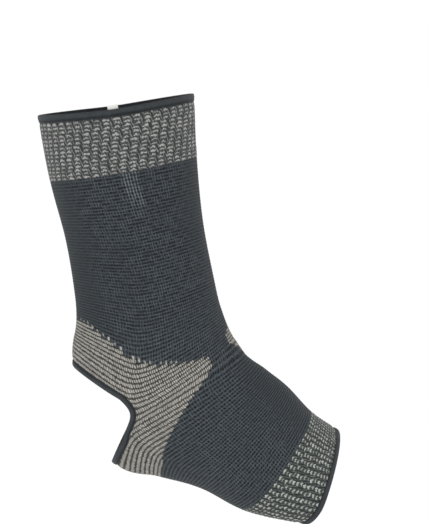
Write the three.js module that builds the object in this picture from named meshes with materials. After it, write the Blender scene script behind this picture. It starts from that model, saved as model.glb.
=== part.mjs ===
// Ankle brace: a seamless knitted sleeve with an open heel, bound in elastic tape at the cuff,
// round the heel opening and at the toes. It has the form it takes when worn on a right foot
// whose toes point down and whose sole turns inwards.
// Millimetres. +Z runs up the leg, +X points to the toes and -Y to the outer side of the foot.
// The origin is the middle of the ankle, inside the sleeve.

import * as THREE from 'three';

// Where the sleeve ends, seen from the middle of the ankle
const LEG_RISE = 128.5;
const FOOT_REACH = 96;
const FOOT_DROP = 132;

// The sleeve's outer size at four stations, from front to back and from side to side
const CUFF_DEPTH = 102;
const CUFF_WIDTH = 94;
const ANKLE_DEPTH = 90;
const ANKLE_WIDTH = 68;
const INSTEP_DEPTH = 113;
const INSTEP_WIDTH = 72;
const TOE_DEPTH = 46;
const TOE_WIDTH = 98;

// How the foot is held: the toe edge tips forward, the sole turns inwards, the toes swing inwards
const TOE_TILT = 50;
const SOLE_ROLL = 25;
const TOE_SWING = 7;
const TOE_SHIFT = 8;

// The knitted courses droop at the sides above the heel opening
const HEEL_DROOP = 30;

// The heel opening: angles round the sleeve, from its front, where its upper and lower edges
// round off, and how far its rounded end reaches forward from there
const HEEL_UPPER_ANGLE = 132;
const HEEL_LOWER_ANGLE = 139;
const HEEL_NOSE_ANGLE = 7;

// Cloth and tape
const KNIT_WALL = 2;
const TAPE_WALL = 0.7;
const TAPE_GAP = 0.45;
const TOP_TAPE_WIDTH = 5;
const HEEL_TAPE_WIDTH = 5;
const TOE_TAPE_WIDTH = 4;

// The blank tab that is sewn inside the top tape and peeps over it
const TAB_WIDTH = 8;
const TAB_HEIGHT = 14;
const TAB_WALL = 0.6;
const TAB_PEEP = 2;

// Faces along and round the pieces. Rows lie closer by this share near the open edges.
const LEG_ROWS = 15;
const HEEL_ROWS = 10;
const FOOT_ROWS = 13;
const EDGE_CLOSENESS = 0.65;
const FRONT_COLUMNS = 36;
const BACK_COLUMNS = 14;

const CUFF = { depth: CUFF_DEPTH, width: CUFF_WIDTH };
const ANKLE = { depth: ANKLE_DEPTH, width: ANKLE_WIDTH };
const INSTEP = { depth: INSTEP_DEPTH, width: INSTEP_WIDTH };
const TOE = { depth: TOE_DEPTH, width: TOE_WIDTH };

// One row for each shaped course of the sleeve, from the cuff to the toes. along is the share of
// all courses that are knitted before it. rise, reach and drop place its middle as shares of
// LEG_RISE, FOOT_REACH and FOOT_DROP. deep and wide say how far its depth and width have gone
// from one station's to the next's. tilt, roll, swing and shift are shares of the foot's angles
// and shift, droop of HEEL_DROOP. peak is where round the course the droop is deepest, from -1 at
// the back to 1 at the front, and egg flattens the back of the course, or the front where it is
// negative.
const ROWS = [
  { along: 0.0, rise: 1.0, reach: 0.012, drop: 0.0, from: CUFF, to: ANKLE, deep: 0.0, wide: 0.0,
    tilt: -0.03, roll: 0.0, swing: 0.0, shift: 0.0, droop: 0.06, peak: 0.0, egg: 0.02 },
  { along: 0.134, rise: 0.674, reach: -0.009, drop: 0.0, from: CUFF, to: ANKLE, deep: 0.47, wide: 0.31,
    tilt: 0.0, roll: 0.0, swing: 0.0, shift: 0.0, droop: 0.03, peak: -0.05, egg: 0.02 },
  { along: 0.271, rise: 0.355, reach: -0.006, drop: 0.0, from: CUFF, to: ANKLE, deep: 1.0, wide: 0.77,
    tilt: -0.03, roll: 0.0, swing: 0.0, shift: 0.0, droop: 0.14, peak: -0.16, egg: -0.04 },
  { along: 0.408, rise: 0.054, reach: -0.002, drop: 0.0, from: ANKLE, to: INSTEP, deep: 0.06, wide: 0.0,
    tilt: -0.08, roll: 0.0, swing: 0.0, shift: 0.0, droop: 0.3, peak: -0.21, egg: -0.08 },
  { along: 0.484, rise: 0.0, reach: -0.006, drop: 0.072, from: ANKLE, to: INSTEP, deep: 0.2, wide: 0.0,
    tilt: -0.08, roll: 0.0, swing: 0.0, shift: 0.0, droop: 0.55, peak: -0.29, egg: -0.08 },
  { along: 0.599, rise: 0.0, reach: -0.018, drop: 0.256, from: ANKLE, to: INSTEP, deep: 0.7, wide: 0.25,
    tilt: 0.02, roll: 0.05, swing: 0.0, shift: 0.0, droop: 0.93, peak: -0.41, egg: -0.06 },
  { along: 0.618, rise: 0.0, reach: 0.022, drop: 0.402, from: ANKLE, to: INSTEP, deep: 0.78, wide: 0.6,
    tilt: 0.31, roll: 0.14, swing: 0.1, shift: 0.0, droop: 0.34, peak: -0.45, egg: -0.03 },
  { along: 0.637, rise: 0.0, reach: 0.088, drop: 0.555, from: ANKLE, to: INSTEP, deep: 1.0, wide: 1.0,
    tilt: 0.59, roll: 0.24, swing: 0.2, shift: 0.1, droop: -0.38, peak: -0.48, egg: 0.0 },
  { along: 0.713, rise: 0.0, reach: 0.297, drop: 0.657, from: INSTEP, to: TOE, deep: 0.17, wide: 0.18,
    tilt: 0.74, roll: 0.6, swing: 0.4, shift: 0.3, droop: -0.38, peak: -0.48, egg: 0.04 },
  { along: 0.815, rise: 0.0, reach: 0.503, drop: 0.752, from: INSTEP, to: TOE, deep: 0.38, wide: 0.45,
    tilt: 0.8, roll: 0.85, swing: 0.6, shift: 0.5, droop: -0.05, peak: -0.3, egg: 0.06 },
  { along: 0.904, rise: 0.0, reach: 0.7, drop: 0.887, from: INSTEP, to: TOE, deep: 0.61, wide: 0.73,
    tilt: 0.84, roll: 1.0, swing: 0.8, shift: 0.75, droop: 0.08, peak: 0.1, egg: 0.07 },
  { along: 1.0, rise: 0.0, reach: 0.975, drop: 1.0, from: INSTEP, to: TOE, deep: 1.0, wide: 1.0,
    tilt: 1.0, roll: 1.0, swing: 1.0, shift: 1.0, droop: 0.08, peak: 0.3, egg: 0.07 },
];
const HEEL_TOP_ROW = 5;
const HEEL_BOTTOM_ROW = 7;

const rad = THREE.MathUtils.degToRad;
const mix = THREE.MathUtils.lerp;

// The rows turned into real sizes
const rows = ROWS.map((row) => ({
  at: row.along,
  x: row.reach * FOOT_REACH,
  y: row.shift * TOE_SHIFT,
  z: row.rise * LEG_RISE - row.drop * FOOT_DROP,
  halfDepth: mix(row.from.depth, row.to.depth, row.deep) / 2,
  halfWidth: mix(row.from.width, row.to.width, row.wide) / 2,
  tilt: rad(row.tilt * TOE_TILT),
  roll: rad(row.roll * SOLE_ROLL),
  swing: rad(row.swing * TOE_SWING),
  droop: row.droop * HEEL_DROOP,
  peak: row.peak,
  egg: row.egg,
}));
const heelTop = rows[HEEL_TOP_ROW].at;
const heelBottom = rows[HEEL_BOTTOM_ROW].at;

// One value of the table at any share of the courses, on a smooth curve through the rows
function valueAt(key, at) {
  let i = 0;
  while (i < rows.length - 2 && at > rows[i + 1].at) i += 1;
  const slope = (n) => {
    const low = rows[Math.max(n - 1, 0)];
    const high = rows[Math.min(n + 1, rows.length - 1)];
    return (high[key] - low[key]) / (high.at - low.at);
  };
  const span = rows[i + 1].at - rows[i].at;
  const t = (at - rows[i].at) / span;
  const rest = 1 - t;
  return (1 + 2 * t) * rest * rest * rows[i][key]
    + t * rest * rest * span * slope(i)
    + t * t * (3 - 2 * t) * rows[i + 1][key]
    - t * t * rest * span * slope(i + 1);
}

// How much of the droop a place round the course has: all at the peak and none at front and back
function droopShare(place, peak) {
  const round = 0.15;
  const away = place - peak;
  const reach = away > 0 ? 1 - peak : 1 + peak;
  return 1 - (Math.hypot(away, round) - round) / (Math.hypot(reach, round) - round);
}

// A point of the outer surface. wale is the angle round the sleeve from its front towards the
// outer side of the foot, at distances along each course that stay nearly even.
function surfacePoint(wale, at) {
  const value = (key) => valueAt(key, at);
  const depth = value('halfDepth');
  const width = value('halfWidth');
  const tilt = value('tilt');
  const roll = value('roll');
  const swing = value('swing');

  const front = new THREE.Vector3(Math.cos(tilt), 0, Math.sin(tilt));
  const onward = new THREE.Vector3(Math.sin(tilt), 0, -Math.cos(tilt));
  const side = new THREE.Vector3(0, -1, 0).multiplyScalar(Math.cos(swing))
    .addScaledVector(onward, Math.sin(swing));
  const rolledFront = front.clone().multiplyScalar(Math.cos(roll))
    .addScaledVector(side, Math.sin(roll));
  const rolledSide = side.clone().multiplyScalar(Math.cos(roll))
    .addScaledVector(front, -Math.sin(roll));

  const angle = wale + (depth - width) / (depth + width) / 2 * Math.sin(2 * wale);
  const forward = depth * (Math.cos(angle) + value('egg') * (Math.cos(2 * angle) - 1));
  const sideways = width * Math.sin(angle);
  const droop = value('droop') * droopShare(Math.cos(angle), value('peak'));

  return new THREE.Vector3(value('x'), value('y'), value('z'))
    .addScaledVector(rolledFront, forward)
    .addScaledVector(rolledSide, sideways)
    .addScaledVector(onward, droop);
}

// The outward direction of the surface at a point
function surfaceNormal(wale, at) {
  const turn = 0.01;
  const step = 0.002;
  const low = Math.max(at - step, 0);
  const high = Math.min(at + step, 1);
  const round = surfacePoint(wale + turn, at).sub(surfacePoint(wale - turn, at));
  const along = surfacePoint(wale, high).sub(surfacePoint(wale, low));
  return round.cross(along).normalize();
}

// Half of the front part of the sleeve, as an angle, beside the heel opening. swept goes from 0
// at the opening's upper edge to pi at its lower edge.
function heelEdge(swept) {
  const down = (1 - Math.cos(swept)) / 2;
  const corner = mix(HEEL_UPPER_ANGLE, HEEL_LOWER_ANGLE, down);
  return {
    wale: rad(corner - HEEL_NOSE_ANGLE * Math.sin(swept)),
    at: mix(heelTop, heelBottom, down),
  };
}

// The rows of the sleeve's faces: where each lies, the angle at which its front part ends and
// whether the row runs on round the back
function faceRows() {
  const eased = (t) => t - EDGE_CLOSENESS * Math.sin(2 * Math.PI * t) / (2 * Math.PI);
  const list = [];
  for (let i = 0; i <= LEG_ROWS; i += 1) {
    list.push({ wale: rad(HEEL_UPPER_ANGLE), at: heelTop * eased(i / LEG_ROWS), closed: true });
  }
  for (let i = 1; i < HEEL_ROWS; i += 1) {
    list.push({ ...heelEdge(Math.PI * i / HEEL_ROWS), closed: false });
  }
  for (let i = 0; i <= FOOT_ROWS; i += 1) {
    const at = mix(heelBottom, 1, eased(i / FOOT_ROWS));
    list.push({ wale: rad(HEEL_LOWER_ANGLE), at, closed: true });
  }
  return list;
}

// The angles of one row's corners, from the inner end of its front part round to the same place
function rowAngles(row) {
  const angles = [];
  for (let j = 0; j <= FRONT_COLUMNS; j += 1) {
    angles.push(mix(-row.wale, row.wale, j / FRONT_COLUMNS));
  }
  for (let j = 1; row.closed && j < BACK_COLUMNS; j += 1) {
    angles.push(mix(row.wale, 2 * Math.PI - row.wale, j / BACK_COLUMNS));
  }
  return angles;
}

function meshOf(name, points, triangles, colour, roughness) {
  const geometry = new THREE.BufferGeometry();
  const positions = points.flatMap((point) => point.toArray());
  geometry.setAttribute('position', new THREE.Float32BufferAttribute(positions, 3));
  geometry.setIndex(triangles.flat());
  geometry.computeVertexNormals();
  const material = new THREE.MeshStandardMaterial({ color: colour, roughness, metalness: 0 });
  const mesh = new THREE.Mesh(geometry, material);
  mesh.name = name;
  return mesh;
}

// The knitted sleeve: its outer surface, the same surface one wall further in, and a rim along
// every open edge
function knitSleeve() {
  const outer = [];
  const inner = [];
  const faces = faceRows();
  const corners = faces.map((row) => rowAngles(row).map((wale) => {
    const point = surfacePoint(wale, row.at);
    outer.push(point);
    inner.push(point.clone().addScaledVector(surfaceNormal(wale, row.at), -KNIT_WALL));
    return outer.length - 1;
  }));

  const skin = [];
  for (let i = 0; i < faces.length - 1; i += 1) {
    const closed = faces[i].closed && faces[i + 1].closed;
    const columns = closed ? FRONT_COLUMNS + BACK_COLUMNS : FRONT_COLUMNS;
    for (let j = 0; j < columns; j += 1) {
      const next = closed ? (j + 1) % columns : j + 1;
      const [a, b] = [corners[i][j], corners[i][next]];
      const [c, d] = [corners[i + 1][next], corners[i + 1][j]];
      skin.push([a, b, c], [a, c, d]);
    }
  }

  const sides = new Set();
  const eachSide = (visit) => skin.forEach(([a, b, c]) => [[a, b], [b, c], [c, a]].forEach(visit));
  eachSide(([a, b]) => sides.add(`${a} ${b}`));
  const under = outer.length;
  const rim = [];
  eachSide(([a, b]) => {
    if (sides.has(`${b} ${a}`)) return;
    rim.push([b, a, under + a], [b, under + a, under + b]);
  });
  const lining = skin.map(([a, b, c]) => [under + a, under + c, under + b]);
  return meshOf('knit_sleeve', [...outer, ...inner], [...skin, ...lining, ...rim], 0x42484b, 0.92);
}

// The place of the outer surface closest to a point, searched from a place nearby
function closestPlace(from, point) {
  const turn = 0.01;
  const step = 0.002;
  const searches = 5;
  let { wale, at } = from;
  for (let i = 0; i < searches; i += 1) {
    const here = surfacePoint(wale, at);
    const round = surfacePoint(wale + turn, at).sub(here).divideScalar(turn);
    const along = surfacePoint(wale, at + step).sub(here).divideScalar(step);
    const away = point.clone().sub(here);
    const cross = round.dot(along);
    const whole = round.lengthSq() * along.lengthSq() - cross * cross;
    wale += (away.dot(round) * along.lengthSq() - away.dot(along) * cross) / whole;
    at += (away.dot(along) * round.lengthSq() - away.dot(round) * cross) / whole;
  }
  return { wale, at };
}

// A folded tape over an open edge. Each stop has its place on the surface, the edge's point, the
// cloth's outward direction and the direction from the edge into the cloth.
function foldedTape(name, stops, width) {
  const top = TAPE_GAP + TAPE_WALL;
  const under = -KNIT_WALL - TAPE_GAP;
  const bottom = under - TAPE_WALL;
  const soft = TAPE_WALL / 2;
  const middle = width / 2;
  const section = [
    [middle, TAPE_GAP], [width, TAPE_GAP], [width, top - soft], [width - soft, top],
    [soft - top, top], [-top, top - soft], [-top, bottom + soft], [soft - top, bottom],
    [width - soft, bottom], [width, bottom + soft], [width, under], [middle, under],
    [-TAPE_GAP, under], [-TAPE_GAP, TAPE_GAP],
  ];
  const points = stops.flatMap(({ place, point, out, into }) => section.map(([x, y]) => {
    if (x <= 0) return point.clone().addScaledVector(into, x).addScaledVector(out, y);
    const { wale, at } = closestPlace(place, point.clone().addScaledVector(into, x));
    return surfacePoint(wale, at).addScaledVector(surfaceNormal(wale, at), y);
  }));
  const count = section.length;
  const triangles = [];
  for (let i = 0; i < stops.length; i += 1) {
    const here = i * count;
    const there = ((i + 1) % stops.length) * count;
    for (let j = 0; j < count; j += 1) {
      const next = (j + 1) % count;
      triangles.push([here + j, there + j, there + next], [here + j, there + next, here + next]);
    }
  }
  return meshOf(name, points, triangles, 0x3a3a3a, 0.8);
}

// The stops of a tape along an open edge, from the places of the edge on the sleeve in order,
// with the cloth on the right of someone who walks along them on the outside
function edgeStops(places) {
  const points = places.map(({ wale, at }) => surfacePoint(wale, at));
  return places.map((place, i) => {
    const before = points[(i + points.length - 1) % points.length];
    const after = points[(i + 1) % points.length];
    const out = surfaceNormal(place.wale, place.at);
    const ahead = after.clone().sub(before);
    const into = ahead.cross(out).normalize();
    return { place, point: points[i], out, into };
  });
}

// The edge of the cuff or of the toes, with the corners of the sleeve's faces there
function ringPlaces(row, onward) {
  const places = rowAngles(row).map((wale) => ({ wale, at: row.at }));
  return onward ? places : places.reverse();
}

// The edge of the heel opening: back along its upper edge to the inner side of the foot, round
// that end, along its lower edge to the outer side and round the other end
function heelPlaces() {
  const places = [];
  const upper = rad(HEEL_UPPER_ANGLE);
  const lower = rad(HEEL_LOWER_ANGLE);
  for (let j = 0; j < BACK_COLUMNS; j += 1) {
    places.push({ wale: mix(upper, 2 * Math.PI - upper, j / BACK_COLUMNS), at: heelTop });
  }
  for (let i = 0; i < HEEL_ROWS; i += 1) {
    const edge = heelEdge(Math.PI * i / HEEL_ROWS);
    places.push({ wale: 2 * Math.PI - edge.wale, at: edge.at });
  }
  for (let j = 0; j < BACK_COLUMNS; j += 1) {
    places.push({ wale: mix(2 * Math.PI - lower, lower, j / BACK_COLUMNS), at: heelBottom });
  }
  for (let i = 0; i < HEEL_ROWS; i += 1) {
    places.push(heelEdge(Math.PI * (HEEL_ROWS - i) / HEEL_ROWS));
  }
  return places;
}

// The blank tab stands against the inside of the top tape on the outer side of the leg
function labelTab() {
  const wale = Math.PI / 2;
  const point = surfacePoint(wale, 0);
  const out = surfaceNormal(wale, 0);
  const along = new THREE.Vector3(1, 0, 0).projectOnPlane(out).normalize();
  const down = out.clone().cross(along).normalize();
  if (down.z > 0) down.negate();
  const tapeInside = KNIT_WALL + 2 * TAPE_GAP + TAPE_WALL;
  const tapeTop = TAPE_GAP + TAPE_WALL;
  const box = new THREE.BoxGeometry(TAB_WIDTH, TAB_WALL, TAB_HEIGHT);
  const material = new THREE.MeshStandardMaterial({ color: 0xe6e6e2, roughness: 0.7, metalness: 0 });
  const tab = new THREE.Mesh(box, material);
  tab.name = 'label_tab';
  const axes = new THREE.Matrix4().makeBasis(along, out.clone(), along.clone().cross(out));
  tab.quaternion.setFromRotationMatrix(axes);
  tab.position.copy(point)
    .addScaledVector(out, -tapeInside - TAPE_GAP - TAB_WALL / 2)
    .addScaledVector(down, TAB_HEIGHT / 2 - TAB_PEEP - tapeTop);
  return tab;
}

const allRows = faceRows();
const firstRow = allRows[0];
const lastRow = allRows[allRows.length - 1];

const brace = new THREE.Group();
brace.add(
  knitSleeve(),
  foldedTape('top_binding', edgeStops(ringPlaces(firstRow, false)), TOP_TAPE_WIDTH),
  foldedTape('heel_binding', edgeStops(heelPlaces()), HEEL_TAPE_WIDTH),
  foldedTape('toe_binding', edgeStops(ringPlaces(lastRow, true)), TOE_TAPE_WIDTH),
  labelTab(),
);

export default brace;
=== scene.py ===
import math
from collections import namedtuple

import bpy
import numpy as np
from mathutils import Matrix, Vector
from mathutils.kdtree import KDTree


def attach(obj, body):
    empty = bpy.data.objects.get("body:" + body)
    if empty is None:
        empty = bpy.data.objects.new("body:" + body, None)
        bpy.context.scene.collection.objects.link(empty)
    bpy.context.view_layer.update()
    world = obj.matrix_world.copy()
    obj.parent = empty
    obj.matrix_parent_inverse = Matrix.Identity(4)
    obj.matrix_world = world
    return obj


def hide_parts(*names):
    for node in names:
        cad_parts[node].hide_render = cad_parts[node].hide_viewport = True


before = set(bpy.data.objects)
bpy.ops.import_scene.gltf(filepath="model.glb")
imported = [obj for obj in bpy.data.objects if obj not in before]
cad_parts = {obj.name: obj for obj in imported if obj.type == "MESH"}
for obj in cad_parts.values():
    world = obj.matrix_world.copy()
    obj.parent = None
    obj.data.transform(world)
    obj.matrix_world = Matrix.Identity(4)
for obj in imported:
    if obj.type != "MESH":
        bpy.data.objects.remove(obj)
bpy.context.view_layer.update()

# An ankle brace in its worn form: a seamless knitted sleeve, three folded tapes and a blank tab.
# Metres. +Z runs up the sleeve, +X points to its toe end and -Y to its outer side.

# Where the sleeve ends, measured from the origin inside its bend
LEG_RISE = 0.1285
FOOT_REACH = 0.096
FOOT_DROP = 0.132

# The sleeve's depth from front to back and width from side to side at four stations
CUFF = (0.102, 0.094)
ANKLE = (0.090, 0.068)
INSTEP = (0.113, 0.072)
TOE = (0.046, 0.098)

# How the toe end is tilted, rolled, swung and shifted, how far the courses droop above the heel
# opening, and that opening's corners and rounded front, in degrees round the sleeve
TOE_TILT = 50
SOLE_ROLL = 25
TOE_SWING = 7
TOE_SHIFT = 0.008
HEEL_DROOP = 0.030
DROOP_ROUND = 0.15
HEEL_UPPER_ANGLE = 132
HEEL_LOWER_ANGLE = 139
HEEL_NOSE_ANGLE = 7

# The cloth, squeezed thinner and pressed in where a tape holds it, and how far from an open edge
# that hold reaches
KNIT_WALL = 0.002
HELD_WALL = 0.0012
PRESSED_IN = 0.0006
HELD_FADE = 0.0075

# The folded tapes: the fold's radius, how far the outer face bulges and where, and the sunk line
# of the seam; places are shares of the tape's width, in from the open edge
TAPE_WALL = 0.0006
TAPE_GAP = 0.0001
TAPE_FOLD = 0.0007
TAPE_CROWN = 0.0002
CROWN_PLACES = (0.55, 0.35)
SEAM_PLACE = 0.8
SEAM_SIDES = (0.86, SEAM_PLACE, 0.74)
SEAM_DEPTH = 0.00015
TOP_TAPE_WIDTH = 0.0047
HEEL_TAPE_WIDTH = 0.0042
TOE_TAPE_WIDTH = 0.0036

# The tab: its place in degrees round the top edge from the front, how far it stands above the
# tape, the share of its wall that each layer of ribbon takes, and how far its middle bows out
TAB_PLACE = 88.9
TAB_WIDTH = 0.0068
TAB_HEIGHT = 0.014
TAB_WALL = 0.0006
TAB_PEEP = 0.002
TAB_LAYER_SHARE = 0.42
TAB_BOW = 0.00012

# The knit: wales round the sleeve, those of them that run on past the heel opening, and the
# relief
WALES = 144
FRONT_COLUMNS = 106
COURSE_RELIEF = 0.00011
BAND_RELIEF = 0.00022

# How finely the pieces are made
FACES_PER_COURSE = 3
TABLE_STEPS = 2001
CLOSEST_ROUNDS = 5
ARC_STEPS = 6
END_TAPE_STOPS = 180
HEEL_TAPE_STOPS_BACK = 56
HEEL_TAPE_STOPS_FRONT = 40
TAB_STEPS = 16
TAB_FOLD_STEPS = 9
TAB_COLUMNS = 13
# Small steps round the sleeve, in radians, and along it, as a share, that give the cloth's slopes
SLOPE_TURN = 0.01
SLOPE_STEP = 0.002
MM_PER_METRE = 1000

# One row for each shaped course, as in the part's own table. course counts the courses above it.
COLUMNS = ("along", "course", "rise", "reach", "drop", "start", "end", "deep", "wide",
           "tilt", "roll", "swing", "shift", "droop", "peak", "egg")
ROWS = [
    (0.000, 0, 1.000, 0.012, 0.000, CUFF, ANKLE, 0.00, 0.00, -0.03, 0.00, 0.0, 0.00, 0.06, 0.00, 0.02),
    (0.134, 17, 0.674, -0.009, 0.000, CUFF, ANKLE, 0.47, 0.31, 0.00, 0.00, 0.0, 0.00, 0.03, -0.05, 0.02),
    (0.271, 37, 0.355, -0.006, 0.000, CUFF, ANKLE, 1.00, 0.77, -0.03, 0.00, 0.0, 0.00, 0.14, -0.16, -0.04),
    (0.408, 57, 0.054, -0.002, 0.000, ANKLE, INSTEP, 0.06, 0.00, -0.08, 0.00, 0.0, 0.00, 0.30, -0.21, -0.08),
    (0.484, 67, 0.000, -0.006, 0.072, ANKLE, INSTEP, 0.20, 0.00, -0.08, 0.00, 0.0, 0.00, 0.55, -0.29, -0.08),
    (0.599, 79, 0.000, -0.018, 0.256, ANKLE, INSTEP, 0.70, 0.25, 0.02, 0.05, 0.0, 0.00, 0.93, -0.41, -0.06),
    (0.618, 81, 0.000, 0.022, 0.402, ANKLE, INSTEP, 0.78, 0.60, 0.31, 0.14, 0.1, 0.00, 0.34, -0.45, -0.03),
    (0.637, 83, 0.000, 0.088, 0.555, ANKLE, INSTEP, 1.00, 1.00, 0.59, 0.24, 0.2, 0.10, -0.38, -0.48, 0.00),
    (0.713, 92, 0.000, 0.297, 0.657, INSTEP, TOE, 0.17, 0.18, 0.74, 0.60, 0.4, 0.30, -0.38, -0.48, 0.04),
    (0.815, 106.5, 0.000, 0.503, 0.752, INSTEP, TOE, 0.38, 0.45, 0.80, 0.85, 0.6, 0.50, -0.05, -0.30, 0.06),
    (0.904, 121, 0.000, 0.700, 0.887, INSTEP, TOE, 0.61, 0.73, 0.84, 1.00, 0.8, 0.75, 0.08, 0.10, 0.07),
    (1.000, 134, 0.000, 0.975, 1.000, INSTEP, TOE, 1.00, 1.00, 1.00, 1.00, 1.0, 1.00, 0.08, 0.30, 0.07),
]
HEEL_TOP_ROW = 5
HEEL_BOTTOM_ROW = 7

# The light bands: first and last course, columns of pads round the sleeve and where the first of
# them starts, how many columns each group of courses is shifted from the one before, how many
# more from the second group on, the pads' share of a column, and how light the slashes between
# the pads are
Band = namedtuple("Band", "first last columns start shift jump pad_share slashes")
TOP_BAND = Band(-1, 17, 46, 0.414, 0.784, 0.0, 0.66, 0.6)
TOE_BAND = Band(120, 135, 55, 0.323, 0.13, 0.23, 0.58, 0.3)
BAND_GROUP = 3
# Slanting stitch legs for each wale, as they show in the light yarn
LEGS = 1.35

# The camera: what it looks at, from how far, and how it is turned
TARGET = Vector((0.04703, 0, 0.01717))
DISTANCE = 2.0
ELEVATION = 4.5
LEAN = 9.5
METRES_PER_PIXEL = 0.00065
LONG_SIDE = 524
SENSOR = 36

# The floor, the white room and the key light
FLOOR_HEIGHT = -0.26
FLOOR_HALF = 30.0
FLOOR_WHITE = 0.97
ROOM_LIGHT = 1.05
KEY_LIGHT_PLACE = (-0.9, -1.6, 0.3)
KEY_LIGHT_SIZE = 1.2
KEY_LIGHT_POWER = 4.0


def make_camera():
    elevation = math.radians(ELEVATION)
    lean = math.radians(LEAN)
    back = Vector((0, -math.cos(elevation), math.sin(elevation)))
    level = Vector((1, 0, 0))
    upright = back.cross(level)
    right = level * math.cos(lean) - upright * math.sin(lean)
    up = level * math.sin(lean) + upright * math.cos(lean)
    data = bpy.data.cameras.new("camera")
    data.sensor_width = SENSOR
    data.lens = SENSOR * DISTANCE / METRES_PER_PIXEL / LONG_SIDE
    camera = bpy.data.objects.new("camera", data)
    axes = Matrix((right, up, back)).transposed()
    camera.matrix_world = Matrix.Translation(TARGET + back * DISTANCE) @ axes.to_4x4()
    bpy.context.collection.objects.link(camera)
    bpy.context.scene.camera = camera


def mix(a, b, share):
    return a + (b - a) * share


def real_sizes():
    """The table's columns turned into metres and radians"""
    share = {name: np.array(column) for name, column in zip(COLUMNS, zip(*ROWS))}
    start, end = share["start"], share["end"]
    return {
        "at": share["along"],
        "course": share["course"],
        "x": share["reach"] * FOOT_REACH,
        "y": share["shift"] * TOE_SHIFT,
        "z": share["rise"] * LEG_RISE - share["drop"] * FOOT_DROP,
        "half_depth": mix(start[:, 0], end[:, 0], share["deep"]) / 2,
        "half_width": mix(start[:, 1], end[:, 1], share["wide"]) / 2,
        "tilt": np.radians(share["tilt"] * TOE_TILT),
        "roll": np.radians(share["roll"] * SOLE_ROLL),
        "swing": np.radians(share["swing"] * TOE_SWING),
        "droop": share["droop"] * HEEL_DROOP,
        "peak": share["peak"],
        "egg": share["egg"],
    }


SHAPE = real_sizes()
HEEL_TOP = SHAPE["at"][HEEL_TOP_ROW]
HEEL_BOTTOM = SHAPE["at"][HEEL_BOTTOM_ROW]


def value_at(key, at):
    """One value of the table at any share of the courses, on a smooth curve through the rows"""
    stations = SHAPE["at"]
    values = SHAPE[key]
    last = len(stations) - 1
    i = np.clip(np.searchsorted(stations, at, side="left") - 1, 0, last - 1)
    low = np.maximum(np.arange(last + 1) - 1, 0)
    high = np.minimum(np.arange(last + 1) + 1, last)
    slope = (values[high] - values[low]) / (stations[high] - stations[low])
    span = stations[i + 1] - stations[i]
    t = (at - stations[i]) / span
    rest = 1 - t
    return ((1 + 2 * t) * rest * rest * values[i] + t * rest * rest * span * slope[i]
            + t * t * (3 - 2 * t) * values[i + 1] - t * t * rest * span * slope[i + 1])


def stacked(x, y, z):
    return np.stack(np.broadcast_arrays(x, y, z), axis=-1)


def surface_point(wale, at):
    """A point of the cloth's outer surface. wale is the angle round it from its front."""
    depth = value_at("half_depth", at)
    width = value_at("half_width", at)
    tilt = value_at("tilt", at)
    roll = value_at("roll", at)
    swing = value_at("swing", at)
    front = stacked(np.cos(tilt), 0, np.sin(tilt))
    onward = stacked(np.sin(tilt), 0, -np.cos(tilt))
    side = stacked(0, -np.cos(swing), 0) + onward * np.sin(swing)[..., None]
    rolled_front = front * np.cos(roll)[..., None] + side * np.sin(roll)[..., None]
    rolled_side = side * np.cos(roll)[..., None] - front * np.sin(roll)[..., None]

    angle = wale + (depth - width) / (depth + width) / 2 * np.sin(2 * wale)
    forward = depth * (np.cos(angle) + value_at("egg", at) * (np.cos(2 * angle) - 1))
    sideways = width * np.sin(angle)
    peak = value_at("peak", at)
    away = np.cos(angle) - peak
    reach = np.where(away > 0, 1 - peak, 1 + peak)
    left = (np.hypot(away, DROOP_ROUND) - DROOP_ROUND) / (np.hypot(reach, DROOP_ROUND) - DROOP_ROUND)
    droop = value_at("droop", at) * (1 - left)
    middle = stacked(value_at("x", at), value_at("y", at), value_at("z", at))
    return (middle + rolled_front * forward[..., None] + rolled_side * sideways[..., None]
            + onward * droop[..., None])


def unit(vectors):
    return vectors / np.linalg.norm(vectors, axis=-1, keepdims=True)


def surface_normal(wale, at):
    round_it = surface_point(wale + SLOPE_TURN, at) - surface_point(wale - SLOPE_TURN, at)
    ahead = surface_point(wale, np.minimum(at + SLOPE_STEP, 1))
    behind = surface_point(wale, np.maximum(at - SLOPE_STEP, 0))
    return unit(np.cross(round_it, ahead - behind))


def heel_edge(swept):
    """The front part's edge beside the heel opening, from the opening's upper to its lower edge"""
    down = (1 - np.cos(swept)) / 2
    corner = mix(HEEL_UPPER_ANGLE, HEEL_LOWER_ANGLE, down)
    return np.radians(corner - HEEL_NOSE_ANGLE * np.sin(swept)), mix(HEEL_TOP, HEEL_BOTTOM, down)


def course_places(courses):
    """The share of all courses at each course number"""
    fine = np.unique(np.concatenate([np.linspace(0, 1, TABLE_STEPS), SHAPE["at"]]))
    return np.interp(courses, value_at("course", fine), fine)


def mesh_piece(name, points, faces, stitches):
    """A smooth mesh of four-sided faces; stitches are the wale and course at each face corner, or
    the place on a tape or tab in millimetres"""
    mesh = bpy.data.meshes.new(name)
    used, compact = np.unique(faces, return_inverse=True)
    points = points[used]
    faces = compact.reshape(faces.shape)
    mesh.vertices.add(len(points))
    mesh.vertices.foreach_set("co", points.astype(np.float32).ravel())
    mesh.loops.add(faces.size)
    mesh.loops.foreach_set("vertex_index", faces.astype(np.int32).ravel())
    mesh.polygons.add(len(faces))
    mesh.polygons.foreach_set("loop_start", np.arange(0, faces.size, faces.shape[1], dtype=np.int32))
    mesh.update(calc_edges=True)
    mesh.polygons.foreach_set("use_smooth", np.ones(len(faces), dtype=bool))
    layer = mesh.uv_layers.new(name="stitches")
    layer.data.foreach_set("uv", stitches.astype(np.float32).ravel())
    mesh.validate()
    piece = bpy.data.objects.new(name, mesh)
    bpy.context.collection.objects.link(piece)
    return piece


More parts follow.
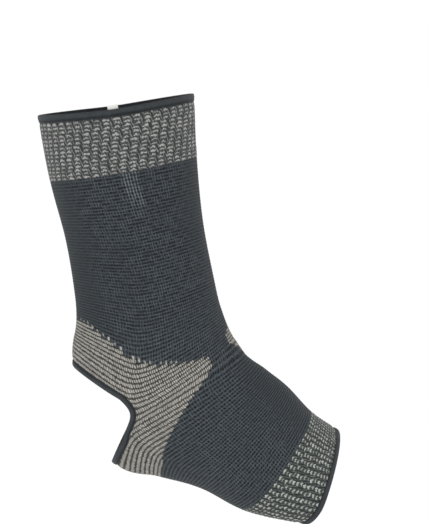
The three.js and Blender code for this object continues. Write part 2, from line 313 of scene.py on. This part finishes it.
def knit_relief(stitch, course):
    """How far the cloth stands out: a rib for each course, and pads on the two light bands"""
    relief = -COURSE_RELIEF * np.cos(2 * np.pi * course)
    for band in (TOP_BAND, TOE_BAND):
        group = np.floor((course - band.first) / BAND_GROUP)
        place = (stitch * band.columns / WALES + band.start
                 + band.shift * group + band.jump * np.minimum(group, 1))
        pads = BAND_RELIEF * np.cos(2 * np.pi * (place - band.pad_share / 2))
        relief = relief + np.where((course > band.first) & (course < band.last), pads, 0)
    return relief


def held_share(points):
    """How firmly the tapes hold the cloth: 1 under a tape, fading to 0 beyond it"""
    around = np.linspace(0, 2 * np.pi, WALES, endpoint=False)
    heel_wale, heel_at = heel_places()
    edges = np.concatenate([surface_point(around, 0 * around), surface_point(around, 0 * around + 1),
                            surface_point(heel_wale, heel_at)])
    near = KDTree(len(edges))
    for i, spot in enumerate(edges):
        near.insert(spot, i)
    near.balance()
    flat = points.reshape(-1, 3)
    away = np.array([near.find(spot)[2] for spot in flat]).reshape(points.shape[:-1])
    return np.clip((HELD_FADE - away) / (HELD_FADE - TOE_TAPE_WIDTH), 0, 1)


def knit_sleeve():
    """The sleeve's outer skin with its ribs, a plain inner skin and the rims between them"""
    total = SHAPE["course"][-1]
    courses = np.arange(0, total * FACES_PER_COURSE + 1) / FACES_PER_COURSE
    at = course_places(courses)
    first = int(SHAPE["course"][HEEL_TOP_ROW] * FACES_PER_COURSE)
    last = int(SHAPE["course"][HEEL_BOTTOM_ROW] * FACES_PER_COURSE)
    down = np.clip((at - HEEL_TOP) / (HEEL_BOTTOM - HEEL_TOP), 0, 1)
    edge = heel_edge(np.arccos(1 - 2 * down))[0][:, None]

    front = np.linspace(-1, 1, FRONT_COLUMNS + 1)
    back = np.linspace(0, 1, WALES - FRONT_COLUMNS + 1)[1:]
    wale = np.concatenate([edge * front, mix(edge, 2 * np.pi - edge, back)], axis=1)
    stitch = wale * WALES / (2 * np.pi)
    course = np.broadcast_to(courses[:, None], wale.shape)

    round_it = wale[:, :-1]
    place = np.broadcast_to(at[:, None], round_it.shape)
    surface = surface_point(round_it, place)
    out = surface_normal(round_it, place)
    held = held_share(surface)
    relief = knit_relief(stitch[:, :-1], course[:, :-1]) * (1 - held) - PRESSED_IN * held
    outer = surface + out * relief[..., None]
    inner = surface - out * mix(KNIT_WALL, HELD_WALL, held)[..., None]
    points = np.concatenate([outer.reshape(-1, 3), inner.reshape(-1, 3)])
    under = outer.shape[0] * WALES

    def corner(row, column):
        return row * WALES + column % WALES

    def mark(row, column):
        return np.stack([stitch[row, column], course[row, column]], axis=1)

    def skin(rows):
        """The faces between each row of a list and the next, leaving out the heel opening"""
        quads = []
        marks = []
        columns = np.arange(WALES)
        for upper, lower in zip(rows[:-1], rows[1:]):
            span = columns[:FRONT_COLUMNS] if upper >= first and lower <= last else columns
            places = ((upper, span), (upper, span + 1), (lower, span + 1), (lower, span))
            quads.append(np.stack([corner(row, column) for row, column in places], axis=1))
            marks.append(np.stack([mark(row, column) for row, column in places], axis=1))
        return np.concatenate(quads), np.concatenate(marks)

    every = list(range(len(courses)))
    few = [row for row in every if row % FACES_PER_COURSE == 0 or first < row < last]
    outside, outside_marks = skin(every)
    inside, inside_marks = skin(few)
    inside = inside[:, ::-1] + under
    inside_marks = inside_marks[:, ::-1]

    def rim(rows, columns):
        """Faces from the outer to the inner skin along a line of corners"""
        a = corner(rows[:-1], columns[:-1])
        b = corner(rows[1:], columns[1:])
        marks = mark(rows[:-1], columns[:-1])
        return np.stack([b, a, a + under, b + under], axis=1), np.repeat(marks[:, None], 4, axis=1)

    around = np.arange(WALES + 1)
    behind = np.arange(FRONT_COLUMNS, WALES + 1)
    beside = np.arange(first, last + 1)
    rims = [
        rim(np.full(WALES + 1, 0), around),
        rim(np.full(WALES + 1, len(courses) - 1), around[::-1]),
        rim(np.full(len(behind), first), behind[::-1]),
        rim(np.full(len(behind), last), behind),
        rim(beside[::-1], np.full(len(beside), 0)),
        rim(beside, np.full(len(beside), FRONT_COLUMNS)),
    ]
    faces = np.concatenate([outside, inside] + [quads for quads, _ in rims])
    marks = np.concatenate([outside_marks, inside_marks] + [marks for _, marks in rims])
    return mesh_piece("knitted_sleeve", points, faces, marks)


def closest_place(wale, at, points):
    """The place of the outer surface closest to each point, searched from a place nearby"""
    for _ in range(CLOSEST_ROUNDS):
        here = surface_point(wale, at)
        round_it = (surface_point(wale + SLOPE_TURN, at) - here) / SLOPE_TURN
        along = (surface_point(wale, at + SLOPE_STEP) - here) / SLOPE_STEP
        away = points - here
        cross = (round_it * along).sum(-1)
        round_2 = (round_it * round_it).sum(-1)
        along_2 = (along * along).sum(-1)
        whole = round_2 * along_2 - cross * cross
        to_round = (away * round_it).sum(-1)
        to_along = (away * along).sum(-1)
        wale = wale + (to_round * along_2 - to_along * cross) / whole
        at = at + (to_along * round_2 - to_round * cross) / whole
    return wale, at


def arc(centre, radius, start, end):
    """Points of a section on an arc, as distances in from the edge and out from the cloth"""
    angles = np.radians(np.linspace(start, end, ARC_STEPS))
    return [(centre[0] + radius * math.cos(a), centre[1] + radius * math.sin(a)) for a in angles]


def tape_section(width):
    """A tape folded over the cloth's edge: rounded fold, turned-in lips and a slack outer face"""
    over = TAPE_GAP - PRESSED_IN
    top = over + TAPE_WALL
    under = -HELD_WALL - TAPE_GAP
    bottom = under - TAPE_WALL
    lip = TAPE_WALL / 2
    fold_centre = TAPE_FOLD - top
    middle, near_lip = width * 0.5, width * 0.8
    section = [(middle, over), (near_lip, over)]
    section += arc((width - lip, top - lip), lip, -80, 90)
    section += [(width * share, top - SEAM_DEPTH * (share == SEAM_PLACE)) for share in SEAM_SIDES]
    section += [(width * share, top + TAPE_CROWN) for share in CROWN_PLACES]
    section += arc((fold_centre, top - TAPE_FOLD), TAPE_FOLD, 90, 180)
    section += arc((fold_centre, bottom + TAPE_FOLD), TAPE_FOLD, 180, 270)
    section += [(width * share, bottom) for share in (0.25, 0.5, 0.75)]
    section += arc((width - lip, bottom + lip), lip, 270, 440)
    section += [(near_lip, under), (middle, under), (-TAPE_GAP, under), (-TAPE_GAP, over)]
    return np.array(section)


def running_length(line):
    """The length run from a closed line's first point to each of its points and back to the first"""
    return np.concatenate([[0], np.cumsum(np.linalg.norm(np.roll(line, -1, axis=0) - line, axis=1))])


def folded_tape(name, wale, at, width):
    """A folded tape along an open edge, whose places run with the cloth on their right"""
    section = tape_section(width)
    edge = surface_point(wale, at)
    out = surface_normal(wale, at)
    ahead = np.roll(edge, -1, axis=0) - np.roll(edge, 1, axis=0)
    into = unit(np.cross(ahead, out))
    x, y = section[:, 0], section[:, 1]
    flat = edge[:, None] + into[:, None] * x[:, None]
    from_wale, from_at = (np.repeat(place[:, None], len(x), axis=1) for place in (wale, at))
    near_wale, near_at = closest_place(from_wale, from_at, flat)
    on_cloth = surface_point(near_wale, near_at) + surface_normal(near_wale, near_at) * y[:, None]
    past_edge = flat + out[:, None] * y[:, None]
    points = np.where((x <= 0)[:, None], past_edge, on_cloth)

    stops, count = len(wale), len(x)
    i, j = np.meshgrid(np.arange(stops), np.arange(count), indexing="ij")
    here, there = i * count, (i + 1) % stops * count
    following = (j + 1) % count
    faces = np.stack([here + j, there + j, there + following, here + following], axis=-1).reshape(-1, 4)
    length, across = running_length(edge), running_length(section)
    across = across[np.argmin(x)] - across
    marks = np.stack([np.stack([length[i + a], across[j + b]], axis=-1) for a, b in
                      ((0, 0), (1, 0), (1, 1), (0, 1))], axis=-2).reshape(-1, 4, 2)
    return mesh_piece(name, points.reshape(-1, 3), faces, marks * MM_PER_METRE)


def heel_places():
    """The heel opening's edge: back along its top, round the inner end, along its bottom and round"""
    upper, lower = math.radians(HEEL_UPPER_ANGLE), math.radians(HEEL_LOWER_ANGLE)
    across = np.linspace(0, 1, HEEL_TAPE_STOPS_BACK, endpoint=False)
    swept = np.linspace(0, np.pi, HEEL_TAPE_STOPS_FRONT, endpoint=False)
    edge, edge_at = heel_edge(swept)
    back_edge, back_at = heel_edge(np.pi - swept)
    wale = np.concatenate([mix(upper, 2 * np.pi - upper, across), 2 * np.pi - edge,
                           mix(2 * np.pi - lower, lower, across), back_edge])
    at = np.concatenate([np.full(len(across), HEEL_TOP), edge_at,
                         np.full(len(across), HEEL_BOTTOM), back_at])
    return wale, at


def label_tab():
    """A blank ribbon folded double, standing against the inside of the top tape"""
    wale, at = np.array(math.radians(TAB_PLACE)), np.array(0.0)
    point, out = surface_point(wale, at), surface_normal(wale, at)
    along = unit(np.array([1.0, 0, 0]) - out * out[0])
    down = np.cross(along, out)
    inside = HELD_WALL + 2 * TAPE_GAP + TAPE_WALL
    middle = (point - out * (inside + TAPE_GAP + TAB_WALL / 2)
              + down * (TAB_HEIGHT / 2 - TAB_PEEP - TAPE_GAP - TAPE_WALL))
    half = TAB_WALL / 2
    height = TAB_HEIGHT / 2
    slit = half - TAB_WALL * TAB_LAYER_SHARE
    steps = np.linspace(-height + half, height, TAB_STEPS)

    def bend(radius, start, end):
        """The ribbon's round fold at the top of the tab"""
        angles = np.linspace(start, end, TAB_FOLD_STEPS)[1:-1]
        return [(radius * math.cos(a), half - height - radius * math.sin(a)) for a in angles]

    outer = [(half, h) for h in steps[::-1]] + bend(half, 0, np.pi) + [(-half, h) for h in steps]
    inner = [(-slit, h) for h in steps[::-1]] + bend(slit, np.pi, 0) + [(slit, h) for h in steps]
    profile = np.array(outer + inner)
    columns = np.linspace(-TAB_WIDTH / 2, TAB_WIDTH / 2, TAB_COLUMNS)
    bow = TAB_BOW * np.cos(columns / TAB_WIDTH * np.pi)
    points = (middle + along * columns[:, None, None] + out * (profile[:, 0] + bow[:, None])[..., None]
              + down * profile[:, 1][None, :, None])
    count = len(profile)
    i, j = np.meshgrid(np.arange(len(columns) - 1), np.arange(count), indexing="ij")
    here, there = i * count, (i + 1) * count
    following = (j + 1) % count
    faces = np.stack([here + j, there + j, there + following, here + following], axis=-1).reshape(-1, 4)
    ends = []
    for k in range(count // 2 - 1):
        near = [k, k + 1, count - 2 - k, count - 1 - k]
        ends.append(near)
        ends.append([n + (len(columns) - 1) * count for n in near[::-1]])
    faces = np.concatenate([faces, np.array(ends)])
    marks = np.stack(np.broadcast_arrays(columns[:, None], profile[:, 1][None, :]), axis=-1).reshape(-1, 2)
    return mesh_piece("blank_tab", points.reshape(-1, 3), faces, marks[faces] * MM_PER_METRE)


class Value:
    """One output of a shader node; arithmetic on it adds Math nodes"""

    def __init__(self, finish, socket):
        self.finish = finish
        self.socket = socket

    def math(self, operation, *others):
        inputs = dict(enumerate(others, start=1))
        return self.finish.node("ShaderNodeMath", {"operation": operation}, {0: self, **inputs})

    def __add__(self, other):
        return self.math("ADD", other)

    def __sub__(self, other):
        return self.math("SUBTRACT", other)

    def __mul__(self, other):
        return self.math("MULTIPLY", other)

    def __truediv__(self, other):
        return self.math("DIVIDE", other)

    def __rsub__(self, other):
        return self * -1 + other

    __radd__ = __add__
    __rmul__ = __mul__

    def __gt__(self, other):
        return self.math("GREATER_THAN", other)

    def __lt__(self, other):
        return self.math("LESS_THAN", other)

    def floor(self):
        return self.math("FLOOR")

    def fract(self):
        return self.math("FRACT")

    def least(self, other):
        return self.math("MINIMUM", other)

    def most(self, other):
        return self.math("MAXIMUM", other)

    def size(self):
        return self.math("ABSOLUTE")

    def wave(self):
        """A smooth wave that is 1 at each whole number and 0 half way between"""
        return (self * (2 * math.pi)).math("COSINE") * 0.5 + 0.5

    def ramp(self, low, high):
        """0 below low, 1 above high and smooth between; it falls where low is the higher"""
        return self.finish.node("ShaderNodeMapRange", {"interpolation_type": "SMOOTHSTEP"},
                                {0: self, 1: low, 2: high, 3: 0.0, 4: 1.0})


class Finish:
    """A material and its shader"""

    def __init__(self, name, **constants):
        self.material = bpy.data.materials.new(name)
        self.material.use_nodes = True
        self.tree = self.material.node_tree
        self.shader = self.tree.nodes["Principled BSDF"]
        for socket, value in constants.items():
            self.shader.inputs[socket.replace("_", " ")].default_value = value

    def node(self, kind, settings, inputs, output=0):
        """Adds a node: its settings first, then the values or links of its sockets"""
        made = self.tree.nodes.new(kind)
        for key, value in settings.items():
            setattr(made, key, value)
        for key, value in inputs.items():
            if isinstance(value, Value):
                self.tree.links.new(value.socket, made.inputs[key])
            else:
                made.inputs[key].default_value = value
        return Value(self, made.outputs[output])

    def stitches(self):
        """The wale and course number, or the place on a tape or tab, at each point"""
        place = self.node("ShaderNodeUVMap", {"uv_map": "stitches"}, {})
        parts = self.node("ShaderNodeSeparateXYZ", {}, {0: place})
        return parts, Value(self, parts.socket.node.outputs[1])

    def chance(self, across, along, salt):
        """A different fixed number from 0 to 1 for each stitch"""
        spot = self.node("ShaderNodeCombineXYZ", {}, {0: across.floor(), 1: along.floor(), 2: salt})
        return self.node("ShaderNodeTexWhiteNoise", {"noise_dimensions": "3D"}, {"Vector": spot})

    def noise(self, scale, detail):
        """Soft noise through the cloth, in metres"""
        place = self.node("ShaderNodeTexCoord", {}, {}, "Object")
        return self.node("ShaderNodeTexNoise", {}, {"Vector": place, "Scale": scale, "Detail": detail})

    def blend(self, share, low, high):
        """A colour between two colours"""
        return self.node("ShaderNodeMix", {"data_type": "RGBA"}, {0: share, 6: low, 7: high}, 2)

    def finish(self, colour, roughness, height, depth):
        """Links what varies over the surface, with the height in metres as a bump"""
        bump = self.node("ShaderNodeBump", {}, {"Strength": 1.0, "Distance": depth, "Height": height})
        for socket, value in (("Base Color", colour), ("Roughness", roughness), ("Normal", bump)):
            self.tree.links.new(value.socket, self.shader.inputs[socket])
        return self.material


def srgb(red, green, blue):
    """A display colour as the shader's own colour"""
    def linear(value):
        value /= 255
        return value / 12.92 if value <= 0.04045 else ((value + 0.055) / 1.055) ** 2.4
    return (linear(red), linear(green), linear(blue), 1.0)


# The yarns' colours, and those of the tapes and the tab
DARK_YARN = srgb(27, 31, 33)
DARK_YARN_LIT = srgb(76, 83, 88)
PALE_YARN = srgb(130, 138, 142)
BAND_LIGHT = srgb(166, 166, 164)
BAND_DARK = srgb(52, 54, 55)
TOE_LIGHT = srgb(178, 182, 176)
TOE_DARK = srgb(43, 48, 47)
ZONE_LIGHT = srgb(174, 171, 164)
ZONE_DARK = srgb(42, 42, 39)
TAPE_DARK = srgb(18, 21, 23)
TAPE_LIT = srgb(63, 68, 72)
TAB_WHITE = srgb(238, 238, 234)
TAB_SHADE = srgb(214, 214, 208)

# The heel zones, in wales and courses: where each begins at the front and what parts the two,
# the lines of their upper and lower edges from there, and the single light stitches above them
ZONE_START_OUTER = 18.8
ZONE_START_INNER = 7.6
ZONE_MIDDLE = 13.2
ZONE_TOP_START = 77.9
ZONE_INNER_HIGHER = 2.0
ZONE_TOP_RISE = 0.28
ZONE_TOP_END = 65.8
ZONE_LOW_START = 81.0
ZONE_INNER_SHORTER = 1.5
ZONE_LOW_FALL = 0.36
ZONE_LOW_END = 93.0
STRAY_PITCH = 1.9
STRAY_START = 12.0

# Uneven yarn: how finely its noise varies, for each metre, and how far it moves a loop
WALE_NOISE = 330.0
WALE_SLIP = 0.9
COURSE_NOISE = 600.0
COURSE_SLIP = 0.6
PATCH_NOISE = 30.0
FUZZ_NOISE = 900.0
# Wales and courses where the dark knit is stretched open, where it runs on towards the toe end,
# where it is drawn pale below the top band, and where the zones' stripes lie at the side: each
# pair says where that is at its least and where at its most
OPEN_WALE = 33.0
OPEN_REACH = (32.0, 9.0)
FOOT_COURSES = (46.0, 78.0)
DRAWN_WALE = 33.0
DRAWN_REACH = (3.4, 1.8)
DRAWN_COURSES = (34.0, 20.0)
SIDE_WALES = (64.0, 38.0)
KNIT_BUMP = 0.0003

# The tapes and the tab: pitches and places in millimetres, noise for each metre, bumps in metres
RIB_PITCH = 0.7
CORD_PITCH = 0.55
# Where across the tape its painted highlight is brightest, and how far from there it fades to painted shade
# at the fold and lip, in millimetres
TAPE_HIGHLIGHT = 1.9
TAPE_HIGHLIGHT_REACH = (2.2, 0.7)
MOTTLE_NOISE = 240.0
TAPE_BUMP = 0.0001
WEAVE_PITCH = 0.3
RIBBON_NOISE = 300.0
TAB_BUMP = 0.00005


def band_pattern(knit, wale, course, fleck, legs, band):
    """Light pads three courses tall in staggered columns, with leaning slashes between them: how
    light the yarn is, and the pads' dots alone"""
    group = ((course - band.first) / BAND_GROUP).floor()
    place = wale * (band.columns / WALES) + band.start + group * band.shift + group.least(1.0) * band.jump
    grain = knit.chance(place, course, 5.0)
    across = (place.fract() - band.pad_share / 2) / (band.pad_share / 2)
    side = across.size()
    up = course.fract() - 0.5 - (side - 0.5) * 0.2 + (fleck - 0.5) * 0.26
    dot = (across * across * 0.6 + up * up * 7.5 + (1 - grain) * 0.3).ramp(1.1, 0.25)
    pad = side.ramp(1.2, 0.8)
    slash = (place.fract() * 3.0 + course * 0.35).wave().ramp(0.4, 0.9) * (0.3 + 0.7 * fleck) * band.slashes
    split = 1 - side.ramp(0.4, 0.05) * (up + 0.5).ramp(0.2, 0.8)
    lit = (0.6 + 0.4 * legs) * (0.8 + 0.5 * fleck) * (0.55 + 0.45 * split)
    share = (dot * (0.95 + 0.4 * grain)).most(pad * 0.1 + (1 - pad) * slash) * lit
    return share.least(1.0), dot


def from_front(wale):
    """Wales counted from the sleeve's front, up on the outer side and down on the inner side"""
    return wale - (wale > WALES / 2) * WALES


def heel_zones(knit, wale, course, thread, legs, stitch, fleck):
    """Where the zones lie and their light stripes along the courses, stepped at their edges, and
    where single light stitches stand before the end of each stripe along the upper edge"""
    unwound = from_front(wale)
    outer_side = (wale > ZONE_MIDDLE) * (wale < WALES / 2)
    inner_side = 1 - outer_side
    past = outer_side * (wale - ZONE_START_OUTER) + inner_side * (ZONE_START_INNER - unwound)
    line = course.floor() + 0.5
    top_start = ZONE_TOP_START - inner_side * ZONE_INNER_HIGHER
    upper = (top_start - past.floor() * ZONE_TOP_RISE).most(ZONE_TOP_END)
    low_start = ZONE_LOW_START - inner_side * ZONE_INNER_SHORTER
    lower = (low_start + past.floor() * ZONE_LOW_FALL).least(ZONE_LOW_END)
    slant = line + (course - line) * 0.6
    zone = (line > upper) * (slant < lower) * (past > 0.0)
    stripe = thread.ramp(0.05, 0.65)
    beside = unwound.size().ramp(*SIDE_WALES)
    between = 0.06 + 0.1 * beside
    lit = ((between + (1 - between) * stripe)
           * (0.4 + (legs.ramp(0.1, 0.9) - 0.5) * (0.3 + 0.56 * beside) + 0.2 * stitch + 0.24 * fleck))
    striped = knit.blend(lit.least(1.0), ZONE_DARK, ZONE_LIGHT)
    above = upper - course
    tick = (wale / STRAY_PITCH).fract()
    tall = knit.chance(wale / STRAY_PITCH, course * 0.0, 3.0)
    stray = ((above > 0.25) * (above < 0.3 + 0.9 * tall) * (past > STRAY_START) * (tall > 0.35)
             * (tick - 0.5).size().ramp(0.28, 0.08) * (0.25 + 0.75 * stitch))
    return zone, striped, stray


def knit_finish():
    """Dark fine knit, the two light bands and the striped heel zones"""
    knit = Finish("knit", Sheen_Weight=0.04, Sheen_Roughness=0.5, Specular_IOR_Level=0.12)
    wale, course = knit.stitches()
    side = from_front(wale).size()

    # Uneven yarn: each loop sits a little off its place, and no two are alike
    wale_here = wale + (knit.noise(WALE_NOISE, 1.0) - 0.5) * WALE_SLIP
    course_here = course + (knit.noise(COURSE_NOISE, 1.0) - 0.5) * COURSE_SLIP
    stitch = knit.chance(wale_here, course_here, 1.0)
    other = knit.chance(wale_here, course_here + 0.5, 2.0)
    fleck = knit.chance(wale_here * 2.0, course_here * 2.0, 4.0)
    thread = (course_here - 0.5).wave()
    column = (wale_here - 0.5).wave()
    wale_line = column.ramp(0.4, 0.02)
    legs = (wale_here * LEGS + course_here * 0.5).wave()

    # Dark ground: a lighter thread on each course, broken into dashes and crossed by thin wales
    # where the cloth is stretched at the sleeve's sides, and calm at its front and back
    patches = knit.noise(PATCH_NOISE, 2.0).ramp(0.35, 0.65)
    open_knit = (side - OPEN_WALE).size().ramp(*OPEN_REACH) * (0.5 + 0.5 * patches)
    over_foot = course.ramp(*FOOT_COURSES)
    row = (thread * thread - 0.375) * (0.24 + 0.36 * open_knit + 0.3 * over_foot) * (0.4 + 1.2 * stitch)
    net = wale_line * open_knit * (0.3 + 0.8 * over_foot + 1.8 * (other > 0.6))
    gap = (1 - thread).ramp(0.4, 1.0) * (1 - wale_line) * (other < 0.5) * open_knit
    share = 0.31 + 0.03 * over_foot + row + net * 0.5 - gap * (0.32 - 0.2 * over_foot)
    colour = knit.blend(share.least(1.0).most(0.0), DARK_YARN, DARK_YARN_LIT)
    drawn = (wale - DRAWN_WALE).size().ramp(*DRAWN_REACH) * course.ramp(*DRAWN_COURSES)
    dashes = wale.wave().ramp(0.45, 0.9) * (0.4 + 0.6 * thread) * (0.3 + 0.7 * other)
    colour = knit.blend(drawn * dashes * 0.85, colour, PALE_YARN)

    height = thread * 0.6 + column * 0.35
    bands = (
        (TOP_BAND, course < TOP_BAND.last, BAND_DARK, BAND_LIGHT),
        (TOE_BAND, course > TOE_BAND.first, TOE_DARK, TOE_LIGHT),
    )
    for band, inside, dark, light in bands:
        share, dot = band_pattern(knit, wale_here, course_here, fleck, legs, band)
        colour = knit.blend(inside, colour, knit.blend(share, dark, light))
        height = height + inside * dot * 0.8

    zone, striped, stray = heel_zones(knit, wale, course, thread, legs, stitch, fleck)
    colour = knit.blend(zone, colour, striped)
    colour = knit.blend(stray, colour, ZONE_LIGHT)

    fuzz = knit.noise(FUZZ_NOISE, 2.0)
    return knit.finish(colour, 0.7 + 0.2 * fuzz, height + fuzz * 0.3, KNIT_BUMP)


def tape_finish():
    """Dark elastic tape: fine cords along it and ribs across, paler in random patches, with a painted
    highlight along the middle of its face and painted shade towards its fold and lip
    """
    tape = Finish("binding_tape", Sheen_Weight=0.02, Specular_IOR_Level=0.15)
    along, across = tape.stitches()
    ribs = (along / RIB_PITCH).wave()
    cords = (across / CORD_PITCH).wave()
    # Paler and rougher in random patches
    mottle = tape.noise(MOTTLE_NOISE, 3.0).ramp(0.3, 0.7)
    # A painted highlight along the middle of the tape's outer face, fading to painted shade towards its fold
    # and its lip
    middle = (across - TAPE_HIGHLIGHT).size().ramp(*TAPE_HIGHLIGHT_REACH)
    share = (ribs * 0.16 + cords * 0.12 + mottle * 0.26 + middle * 0.46).least(1.0)
    colour = tape.blend(share, TAPE_DARK, TAPE_LIT)
    return tape.finish(colour, 0.55 + mottle * 0.25, ribs * 0.5 + cords * 0.5, TAPE_BUMP)


def tab_finish():
    """White woven ribbon"""
    ribbon = Finish("woven_ribbon", Sheen_Weight=0.05)
    across, along = ribbon.stitches()
    weave = (across / WEAVE_PITCH).wave() * (along / WEAVE_PITCH).wave()
    soft = ribbon.noise(RIBBON_NOISE, 2.0)
    colour = ribbon.blend(weave * 0.6 + soft * 0.2, TAB_WHITE, TAB_SHADE)
    return ribbon.finish(colour, 0.55 + soft * 0.2, weave, TAB_BUMP)


def dress(piece, node, material):
    piece.data.materials.append(material)
    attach(piece, "root")
    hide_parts(node)


def make_brace():
    sleeve = knit_sleeve()
    dress(sleeve, "knit_sleeve", knit_finish())
    around = np.linspace(0, 2 * np.pi, END_TAPE_STOPS, endpoint=False)
    ends = np.zeros(len(around))
    heel_wale, heel_at = heel_places()
    tapes = [
        ("top_tape", "top_binding", around[::-1], ends, TOP_TAPE_WIDTH),
        ("heel_tape", "heel_binding", heel_wale, heel_at, HEEL_TAPE_WIDTH),
        ("toe_tape", "toe_binding", around, ends + 1, TOE_TAPE_WIDTH),
    ]
    tape_material = tape_finish()
    for name, node, wale, at, width in tapes:
        tape = folded_tape(name, wale, at, width)
        dress(tape, node, tape_material)
    tab = label_tab()
    dress(tab, "label_tab", tab_finish())


def make_studio():
    """A pale floor well below the brace, a white surround and one soft light"""
    corners = [(x * FLOOR_HALF, y * FLOOR_HALF, FLOOR_HEIGHT)
               for x, y in ((-1, -1), (1, -1), (1, 1), (-1, 1))]
    mesh = bpy.data.meshes.new("floor")
    mesh.from_pydata(corners, [], [(0, 1, 2, 3)])
    floor = bpy.data.objects.new("floor", mesh)
    bpy.context.collection.objects.link(floor)
    pale = Finish("pale_floor", Roughness=0.9)
    pale.shader.inputs["Base Color"].default_value = (FLOOR_WHITE, FLOOR_WHITE, FLOOR_WHITE, 1)
    mesh.materials.append(pale.material)

    world = bpy.data.worlds.new("white_room")
    world.use_nodes = True
    background = world.node_tree.nodes["Background"]
    background.inputs["Color"].default_value = (1, 1, 1, 1)
    background.inputs["Strength"].default_value = ROOM_LIGHT
    bpy.context.scene.world = world
    bpy.context.scene.view_settings.view_transform = "Standard"

    data = bpy.data.lights.new("key_light", "AREA")
    data.size = KEY_LIGHT_SIZE
    data.energy = KEY_LIGHT_POWER
    light = bpy.data.objects.new("key_light", data)
    light.location = KEY_LIGHT_PLACE
    light.rotation_mode = "QUATERNION"
    light.rotation_quaternion = (Vector(KEY_LIGHT_PLACE) - TARGET).to_track_quat("Z", "Y")
    bpy.context.collection.objects.link(light)


make_camera()
make_brace()
make_studio()
